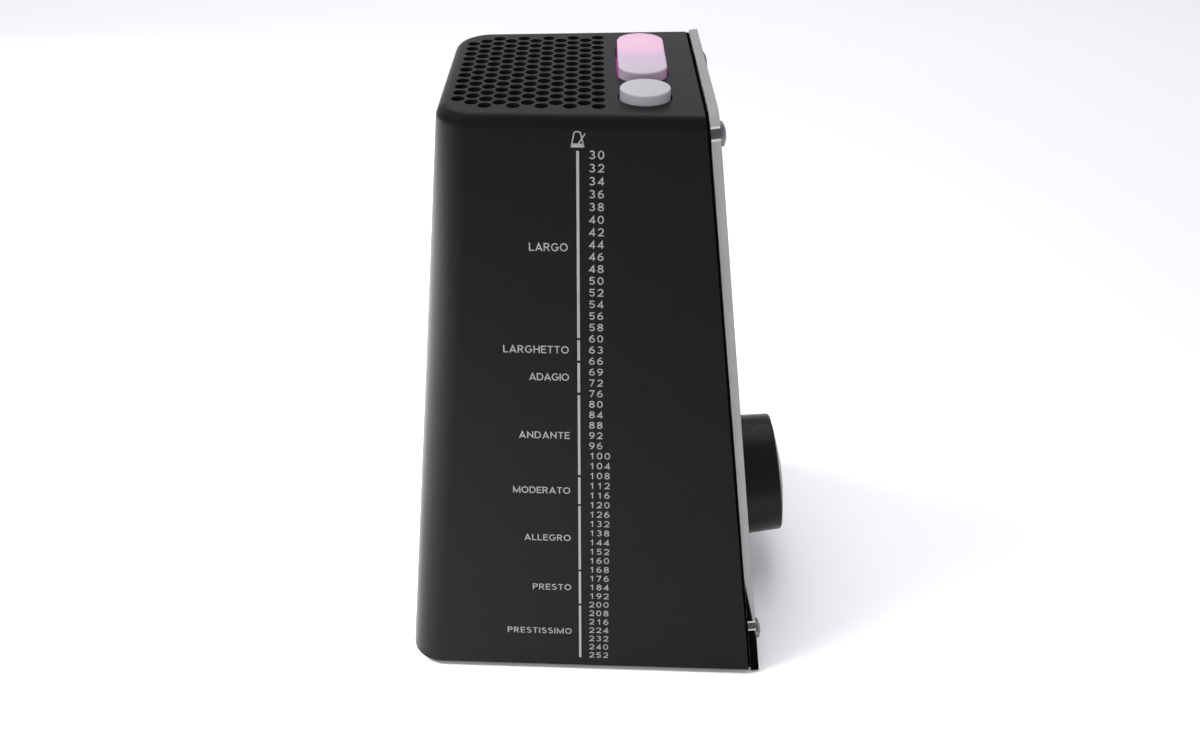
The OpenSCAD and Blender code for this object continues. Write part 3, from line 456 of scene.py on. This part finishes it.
# CAD nodes that stay get their slot's finish
for node, obj in NODES.items():
    obj.data.materials.clear()
    obj.data.materials.append(FINISHES[SLOT_OF[node]])


# ---- Print on the left wall ----

LINE_U = -23.37
INK_LIFT, INK_SINK = 0.02, 0.01


def wall_v(height):
    """Distance up the leaning wall, from its top edge, of a height above the table."""
    return (height - TOP_Z) / math.cos(SIDE_LEAN)


def add_plate(bm, outline, low=-INK_SINK, high=INK_LIFT):
    """Thin closed plate with a flat outline."""
    bottom = [bm.verts.new((x, y, low)) for x, y in outline]
    top = [bm.verts.new((x, y, high)) for x, y in outline]
    bm.faces.new(top)
    bm.faces.new(bottom[::-1])
    for i in range(len(outline)):
        j = (i + 1) % len(outline)
        bm.faces.new((bottom[i], bottom[j], top[j], top[i]))


def add_stroke(bm, points, width, closed=False, low=-INK_SINK, high=INK_LIFT):
    """Line of even width through points, as one closed plate with mitred corners."""
    n = len(points)
    sides = []
    for i, p in enumerate(points):
        p = Vector(p)
        before = Vector(points[i - 1]) if closed or i else None
        after = Vector(points[(i + 1) % n]) if closed or i < n - 1 else None
        d1 = (p - before).normalized() if before is not None else (after - p).normalized()
        d2 = (after - p).normalized() if after is not None else d1
        normal = Vector((-d1.y - d2.y, d1.x + d2.x)).normalized()
        reach = width / 2 / max(0.3, normal.dot(Vector((-d1.y, d1.x))))
        sides.append((p + normal * reach, p - normal * reach))
    rings = []
    for left, right in sides:
        section = ((left, low), (right, low), (right, high), (left, high))
        rings.append([bm.verts.new((*q, z)) for q, z in section])
    for i in range(n if closed else n - 1):
        a, b = rings[i], rings[(i + 1) % n]
        for k in range(4):
            bm.faces.new((a[k], a[(k + 1) % 4], b[(k + 1) % 4], b[k]))
    if not closed:
        bm.faces.new(rings[0][::-1])
        bm.faces.new(rings[-1])


def arc(x, y, rx, ry, start, end, steps=12):
    """Points of an elliptic arc from one angle to another, in degrees."""
    turns = [math.radians(start + (end - start) * i / steps) for i in range(steps + 1)]
    return [(x + rx * math.cos(a), y + ry * math.sin(a)) for a in turns]


def ellipse(x, y, rx, ry):
    return arc(x, y, rx, ry, 0, 345, 23)


# Characters as centre lines, one unit high: width, then open lines, then closed ones
PEN = 0.135
P = PEN / 2
CHARACTERS = {
    "0": (0.72, [], [ellipse(0.36, 0.5, 0.36 - P, 0.5 - P)]),
    "1": (0.4, [[(0.04, 0.7), (0.3, 0.88), (0.3, 0)]], []),
    "2": (0.72, [arc(0.36, 0.66, 0.36 - P, 0.34 - P, 165, -30) + [(0.12, P), (0.72, P)]], []),
    "3": (0.72, [arc(0.34, 0.74, 0.25, 0.26 - P, 150, -90),
                 arc(0.35, 0.29, 0.35 - P, 0.29 - P, 90, -155)], []),
    "4": (0.78, [[(0.56, 0), (0.56, 0.88), (0.1, 0.27), (0.78, 0.27)]], []),
    "5": (0.72, [[(0.66, 1 - P), (0.17, 1 - P), (0.11, 0.5)],
                 arc(0.35, 0.33, 0.35 - P, 0.33 - P, 130, -150)], []),
    "6": (0.72, [arc(0.56, 0.33, 0.56 - P, 0.67 - P, 180, 90)], [ellipse(0.36, 0.32, 0.36 - P, 0.32 - P)]),
    "7": (0.72, [[(0, 1 - P), (0.62, 1 - P), (0.24, 0)]], []),
    "8": (0.72, [], [ellipse(0.36, 0.75, 0.25, 0.25 - P), ellipse(0.36, 0.28, 0.36 - P, 0.28 - P)]),
    "9": (0.72, [arc(0.16, 0.67, 0.56 - P, 0.67 - P, 0, -90)], [ellipse(0.36, 0.68, 0.36 - P, 0.32 - P)]),
    "A": (0.86, [[(0.06, 0), (0.43, 0.92), (0.8, 0)], [(0.17, 0.27), (0.69, 0.27)]], []),
    "D": (0.8, [[(P, P), (0.36, P)] + arc(0.36, 0.5, 0.44 - P, 0.5 - P, -75, 75, 10)
                + [(0.36, 1 - P), (P, 1 - P)],
                [(P, 0), (P, 1)]], []),
    "E": (0.62, [[(0.62, P), (P, P), (P, 1 - P), (0.62, 1 - P)], [(P, 0.52), (0.56, 0.52)]], []),
    "G": (0.88, [arc(0.45, 0.5, 0.45 - P, 0.5 - P, 45, 325, 20) + [(0.81, 0.46), (0.5, 0.46)]], []),
    "H": (0.76, [[(P, 0), (P, 1)], [(0.76 - P, 0), (0.76 - P, 1)], [(P, 0.52), (0.76 - P, 0.52)]], []),
    "I": (0.15, [[(P, 0), (P, 1)]], []),
    "L": (0.58, [[(P, 1), (P, P), (0.58, P)]], []),
    "M": (0.94, [[(P, 0), (P, 0.9), (0.47, 0.12), (0.94 - P, 0.9), (0.94 - P, 0)]], []),
    "N": (0.78, [[(P, 0), (P, 0.88), (0.78 - P, 0.12), (0.78 - P, 1)]], []),
    "O": (0.92, [], [ellipse(0.46, 0.5, 0.46 - P, 0.5 - P)]),
    "P": (0.68, [[(P, 0), (P, 1 - P), (0.36, 1 - P)] + arc(0.36, 0.71, 0.32 - P, 0.29 - P, 80, -80, 8)
                 + [(0.36, 0.42 + P), (P, 0.42 + P)]], []),
    "R": (0.74, [[(P, 0), (P, 1 - P), (0.36, 1 - P)] + arc(0.36, 0.71, 0.32 - P, 0.29 - P, 80, -80, 8)
                 + [(0.36, 0.42 + P), (P, 0.42 + P)], [(0.36, 0.45), (0.66, 0)]], []),
    "S": (0.7, [arc(0.35, 0.75, 0.29 - P / 2, 0.25 - P, 40, 250, 12)
                + arc(0.35, 0.29, 0.35 - P, 0.29 - P, 75, -145, 12)],
          []),
    "T": (0.68, [[(0, 1 - P), (0.68, 1 - P)], [(0.34, 0), (0.34, 1 - P)]], []),
}


def add_character(bm, c, u, v, height):
    """One character with its lower left corner at u, v."""
    _, lines, rings = CHARACTERS[c]
    for points, closed in [(p, False) for p in lines] + [(p, True) for p in rings]:
        add_stroke(bm, [(u + x * height, v + y * height) for x, y in points], PEN * height, closed)


ROW_Z, ROW_PITCH = 124.55, 2.497
TEMPI = [*range(30, 61, 2), *range(63, 73, 3), *range(76, 121, 4), *range(126, 145, 6), *range(152, 209, 8),
         *range(216, 241, 8), 252]
DIGIT_H, DIGIT_PITCH, FIRST_DIGIT = 1.62, 1.65, 2.7

numbers = bmesh.new()
for i, tempo in enumerate(TEMPI):
    for k, c in enumerate(str(tempo)):
        add_character(numbers, c, LINE_U + FIRST_DIGIT + k * DIGIT_PITCH - CHARACTERS[c][0] * DIGIT_H / 2,
                      wall_v(ROW_Z - ROW_PITCH * i) - DIGIT_H / 2, DIGIT_H)
bmesh.ops.recalc_face_normals(numbers, faces=numbers.faces)
new_piece("tempo_numbers", numbers, "housing", WHITE_INK, matrix=left_frame, flat_faces=False)

# Upper and lower end of each stretch of the scale's line, above the table
LINE_ENDS = [(125.24, 87.22), (86.71, 82.18), (81.61, 74.83), (74.17, 54.76), (54.13, 47.3), (46.78, 29.6),
             (29.04, 19.91), (19.33, 3.92)]
# Each word, its width and the height of its middle above the table
WORDS = [("LARGO", 7.5, 106.4), ("LARGHETTO", 13.3, 84.5), ("ADAGIO", 8.2, 78.3), ("ANDANTE", 10.7, 64.5),
         ("MODERATO", 12.4, 50.7), ("ALLEGRO", 10.3, 38.2), ("PRESTO", 8.75, 24.5),
         ("PRESTISSIMO", 14.95, 11.7)]
LINE_W = 0.53
line = bmesh.new()
for high, low in LINE_ENDS:
    u1, u2 = LINE_U - LINE_W / 2, LINE_U + LINE_W / 2
    add_plate(line, [(u1, wall_v(low)), (u2, wall_v(low)), (u2, wall_v(high)), (u1, wall_v(high))])
new_piece("scale_line", line, "housing", WHITE_INK, matrix=left_frame, flat_faces=False)
LETTER_H, WORD_GAP = 1.66, 2.0
words = bmesh.new()
for text, width, z in WORDS:
    own = [CHARACTERS[c][0] * LETTER_H for c in text]
    gap = (width - sum(own)) / (len(text) - 1)
    for k, c in enumerate(text):
        u = LINE_U - WORD_GAP - width + sum(own[:k]) + k * gap
        add_character(words, c, u, wall_v(z) - LETTER_H / 2, LETTER_H)
bmesh.ops.recalc_face_normals(words, faces=words.faces)
new_piece("tempo_words", words, "housing", WHITE_INK, matrix=left_frame, flat_faces=False)

# Small sign above the scale: outline of a metronome with its pendulum
sign = bmesh.new()
SIGN_Z, SIGN_PEN = 125.9, 0.22
sign_v = wall_v(SIGN_Z)
sides_and_top = [(-1.14, 0.3), (-0.66, 2.6), (-0.54, 2.82), (-0.34, 2.9), (0.26, 2.9), (0.46, 2.82),
                 (0.58, 2.6), (1.1, 0.3)]
add_stroke(sign, [(LINE_U + x, sign_v + y) for x, y in sides_and_top], SIGN_PEN)
add_plate(sign, [(LINE_U + x, sign_v + y) for x, y in ((-1.3, 0), (1.28, 0), (1.12, 0.72), (-1.14, 0.72))])
add_stroke(sign, [(LINE_U + 0.05, sign_v + 0.6), (LINE_U + 1.42, sign_v + 2.6)], SIGN_PEN)
new_piece("scale_sign", sign, "housing", WHITE_INK, matrix=left_frame, flat_faces=False)


# ---- Front: display figures and fine print ----

def on_front_plane(depth):
    """Plane parallel to the front and that deep behind it: x to the viewer's right, y up, z outwards."""
    return front_frame @ Matrix.Translation((0, depth, 0)) @ Matrix.Rotation(math.pi / 2, 4, "X")


def segment_outline(x, y, length, upright, w=0.9):
    """Pointed bar of a figure, around its middle."""
    a, b = length / 2, w / 2
    points = [(-a, 0), (-a + b, -b), (a - b, -b), (a, 0), (a - b, b), (-a + b, b)]
    return [(x - q, y + p) if upright else (x + p, y + q) for p, q in points]


SEGMENTS = {"a": (0, 1, 0), "b": (0.5, 0.5, 1), "c": (0.5, -0.5, 1), "d": (0, -1, 0), "e": (-0.5, -0.5, 1),
            "f": (-0.5, 0.5, 1), "g": (0, 0, 0)}
FIGURES = {"1": "bc", "2": "abged", "0": "abcdef"}
FIGURE_W, FIGURE_H, FIGURE_PITCH, FIGURE_SLANT = 4.4, 8.8, 7.4, 0.1
display_plane = on_front_plane(0.4) @ Matrix.Translation((0, -DISPLAY_DOWN, 0))
for name, lit, finish in (("display_lit_bars", True, LIT_SEGMENT),
                          ("display_dark_bars", False, DARK_SEGMENT)):
    bars = bmesh.new()
    for i, figure in enumerate("120"):
        for key, (sx, sy, upright) in SEGMENTS.items():
            if (key in FIGURES[figure]) == lit:
                x = (i - 1) * FIGURE_PITCH + sx * FIGURE_W
                y = sy * FIGURE_H / 2
                outline = segment_outline(x, y, FIGURE_W - 0.35, upright)
                add_plate(bars, [(px + py * FIGURE_SLANT, py) for px, py in outline])
    new_piece(name, bars, "housing", finish, matrix=display_plane, flat_faces=False)

PRINT_PEN, PRINT_H = 0.22, 0.012


def above_pivot(r, degrees):
    """Point at that distance from the drawn pendulum's pivot, and that far round from straight up."""
    a = math.radians(degrees)
    return (r * math.sin(a), r * math.cos(a) - PENDULUM_DOWN)


front_print = bmesh.new()
arc_r = PENDULUM_R + 3.4
swing = [above_pivot(arc_r, -26 + 52 * i / 40) for i in range(41)]
add_stroke(front_print, swing, PRINT_PEN, low=0, high=PRINT_H)
for i in range(9):
    mark = [above_pivot(arc_r + far, (i - 4) * 6) for far in (0.3, 2.4 if i in (0, 4, 8) else 1.4)]
    add_stroke(front_print, mark, PRINT_PEN, low=0, high=PRINT_H)
new_piece("front_print", front_print, "housing", GREY_INK, matrix=on_front_plane(-SHEET_T), flat_faces=False)


# ---- Battery compartment: cells and springs ----

def lathe(profile, matrix, sides=48):
    """Closed turned shape about local x; profile is (x, radius, material index) from one end to the other."""
    bm = bmesh.new()
    rings = []
    for x, r, _ in profile:
        if r == 0:
            rings.append([bm.verts.new((x, 0, 0))])
        else:
            turns = [2 * math.pi * i / sides for i in range(sides)]
            rings.append([bm.verts.new((x, r * math.cos(a), r * math.sin(a))) for a in turns])
    for (a, b), (_, _, index) in zip(zip(rings, rings[1:]), profile[1:]):
        for i in range(sides):
            j = (i + 1) % sides
            if len(a) == 1:
                f = bm.faces.new((a[0], b[j], b[i]))
            elif len(b) == 1:
                f = bm.faces.new((a[i], a[j], b[0]))
            else:
                f = bm.faces.new((a[i], a[j], b[j], b[i]))
            f.material_index = index
    bmesh.ops.recalc_face_normals(bm, faces=bm.faces)
    bm.transform(matrix)
    return bm


CELL_R, CELL_LEN, CELL_START, CELL_DEPTH, CELL_PITCH = 5.1, 44.5, -19.9, 8.3, 11.4
CELLS = ((1, -1), (2, 0), (3, 1))
SLEEVE_BAND = surface("sleeve_band", (0.5, 0.28, 0.1), 0.28, bump=0.004, mottle=0.05, Metallic=0.6)


def on_cell(i):
    return (back_frame @ Matrix.Translation((0, -CELL_DEPTH, -TRAY_MID + i * CELL_PITCH))
            @ Matrix.Rotation(0 if i % 2 == 0 else math.pi, 4, "Z"))


# Each point: distance along the cell, radius, and finish: 0 label, 1 steel, 2 band
cell_profile = [(0, 0, 1), (0, 3.3, 1), (0.15, 3.5, 1), (0.15, 4.3, 1), (0, 4.45, 0), (0.1, 4.85, 0),
                (0.4, 5.08, 0), (0.8, CELL_R, 0), (CELL_LEN - 14, CELL_R, 0), (CELL_LEN - 13.9, CELL_R, 2),
                (CELL_LEN - 2.2, CELL_R, 2), (CELL_LEN - 1.7, 5.04, 2), (CELL_LEN - 1.3, 4.75, 2),
                (CELL_LEN - 1.2, 4.3, 2), (CELL_LEN - 1.3, 4.2, 1), (CELL_LEN - 1.3, 2.0, 1),
                (CELL_LEN - 1.1, 1.9, 1), (CELL_LEN - 0.25, 1.85, 1), (CELL_LEN, 1.6, 1), (CELL_LEN, 0, 1)]
for number, i in CELLS:
    turned = lathe(cell_profile, on_cell(i) @ Matrix.Translation((CELL_START, 0, 0)))
    cell = new_piece(f"cell_{number}", turned, "housing",
                     [FINISHES["battery_label"], FINISHES["steel"], SLEEVE_BAND],
                     matrix=Matrix.Identity(4), flat_faces=False)
    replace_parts(cell, f"battery_{number}")


def sweep(bm, points, radius, sides=10):
    """Round wire along points, with closed ends."""
    points = [Vector(p) for p in points]
    up = Vector((0, 0, 1))
    rings = []
    for i, p in enumerate(points):
        along = (points[min(i + 1, len(points) - 1)] - points[max(i - 1, 0)]).normalized()
        if abs(along.dot(up)) > 0.95:
            up = Vector((1, 0, 0))
        side = along.cross(up).normalized()
        up = side.cross(along).normalized()
        rings.append([bm.verts.new(p + (side * math.cos(a) + up * math.sin(a)) * radius)
                      for a in [2 * math.pi * k / sides for k in range(sides)]])
    for a, b in zip(rings, rings[1:]):
        for k in range(sides):
            j = (k + 1) % sides
            bm.faces.new((a[k], a[j], b[j], b[k]))
    bm.faces.new(rings[0][::-1])
    bm.faces.new(rings[-1])


SPRING_TURNS, SPRING_LEN, SPRING_WIRE_R, SPRING_STEPS = 4.5, 4.7, 0.33, 150
SPRING_WIDE_R, SPRING_NARROW_R = 3.4, 2.1
SPRING_BACK, CONTACT_T, CONTACT_W = -25, 0.4, 8
for number, i in CELLS:
    spring = bmesh.new()
    coil = []
    for step in range(SPRING_STEPS + 1):
        k = step / SPRING_STEPS
        a = 2 * math.pi * SPRING_TURNS * k
        r = SPRING_WIDE_R + (SPRING_NARROW_R - SPRING_WIDE_R) * k
        x = SPRING_BACK + 0.75 + (SPRING_LEN - 1.1) * min(1, max(0, (k - 0.06) / 0.88))
        coil.append((x, r * math.cos(a), r * math.sin(a)))
    sweep(spring, coil, SPRING_WIRE_R)
    bmesh.ops.create_cube(spring, size=1, matrix=Matrix.Translation((SPRING_BACK + CONTACT_T / 2, 0, 0))
                          @ Matrix.Diagonal((CONTACT_T, CONTACT_W, CONTACT_W, 1)))
    bmesh.ops.recalc_face_normals(spring, faces=spring.faces)
    made = new_piece(f"spring_{number}", spring, "housing", FINISHES["steel"], matrix=on_cell(i),
                     flat_faces=False)
    if number == 1:
        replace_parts(made, "battery_springs")


# ---- Sockets and small trims ----

ring_profile = [(-0.1, 2.0, 0), (0.12, 2.05, 0), (0.16, 2.2, 0), (0.16, 2.6, 0), (0.12, 2.75, 0),
                (-0.1, 2.8, 0), (-0.1, 2.0, 0)]
ring = lathe(ring_profile, right_frame @ Matrix.Translation((0, JACK_Y, JACK_UP - SIDE_BOARD_DOWN)))
new_piece("socket_ring", ring, "housing", FINISHES["steel"], matrix=Matrix.Identity(4))


# ---- Camera, floor and light ----

pitch, yaw = math.radians(34.295), math.radians(0.306)
forward = Vector((math.cos(yaw) * math.cos(pitch), -math.sin(yaw) * math.cos(pitch), -math.sin(pitch)))
right = Vector((-math.sin(yaw), -math.cos(yaw), 0))
up = right.cross(forward)
camera = bpy.data.objects.new("camera", bpy.data.cameras.new("camera"))
camera.data.sensor_width = 36
camera.data.lens = 32.4
camera.data.clip_start = 0.01
camera.matrix_world = (Matrix.Translation(Vector((-215.04, FRONT_Y + 20.244, 203.40)) * MM)
                       @ Matrix((right, up, -forward)).transposed().to_4x4())
bpy.context.scene.collection.objects.link(camera)
bpy.context.scene.camera = camera

floor_mesh = bmesh.new()
bmesh.ops.create_grid(floor_mesh, x_segments=8, y_segments=8, size=6)
mesh = bpy.data.meshes.new("floor")
floor_mesh.to_mesh(mesh)
floor_mesh.free()
floor = bpy.data.objects.new("floor", mesh)
mesh.materials.append(surface("floor_paper", (0.92, 0.92, 0.92), 0.85, mottle=0.01, mottle_scale=3, grain=300,
                              bump=0.01, Specular_IOR_Level=0.1))
bpy.context.scene.collection.objects.link(floor)


def softbox(name, place, size, power, target=(0, 0, 0.07), seen_in_gloss=True, spread=180):
    light = bpy.data.lights.new(name, "AREA")
    light.shape = "RECTANGLE"
    light.size, light.size_y = size
    light.energy = power
    light.spread = math.radians(spread)
    obj = bpy.data.objects.new(name, light)
    obj.location = place
    obj.rotation_mode = "QUATERNION"
    obj.rotation_quaternion = (Vector(target) - Vector(place)).to_track_quat("-Z", "Y")
    obj.visible_glossy = seen_in_gloss
    bpy.context.scene.collection.objects.link(obj)


softbox("high_far", (0.62, 0.1, 1.0), (0.8, 0.9), 3.5)
softbox("fill", (0.0, 0.1, 1.1), (0.6, 0.6), 3.6, seen_in_gloss=False)
softbox("left_floor", (-0.03, 0.42, 0.5), (0.3, 0.3), 4.5, target=(-0.03, 0.34, 0), seen_in_gloss=False,
        spread=75)
softbox("near_side", (-0.9, -0.1, 0.26), (0.8, 0.4), 3.2, seen_in_gloss=False)

world = bpy.data.worlds.new("studio")
bpy.context.scene.world = world
world.use_nodes = True
world.node_tree.nodes["Background"].inputs["Color"].default_value = (0.93, 0.95, 1.0, 1)
world.node_tree.nodes["Background"].inputs["Strength"].default_value = 0.6
bpy.context.scene.view_settings.view_transform = "Standard"

bpy.context.view_layer.update()
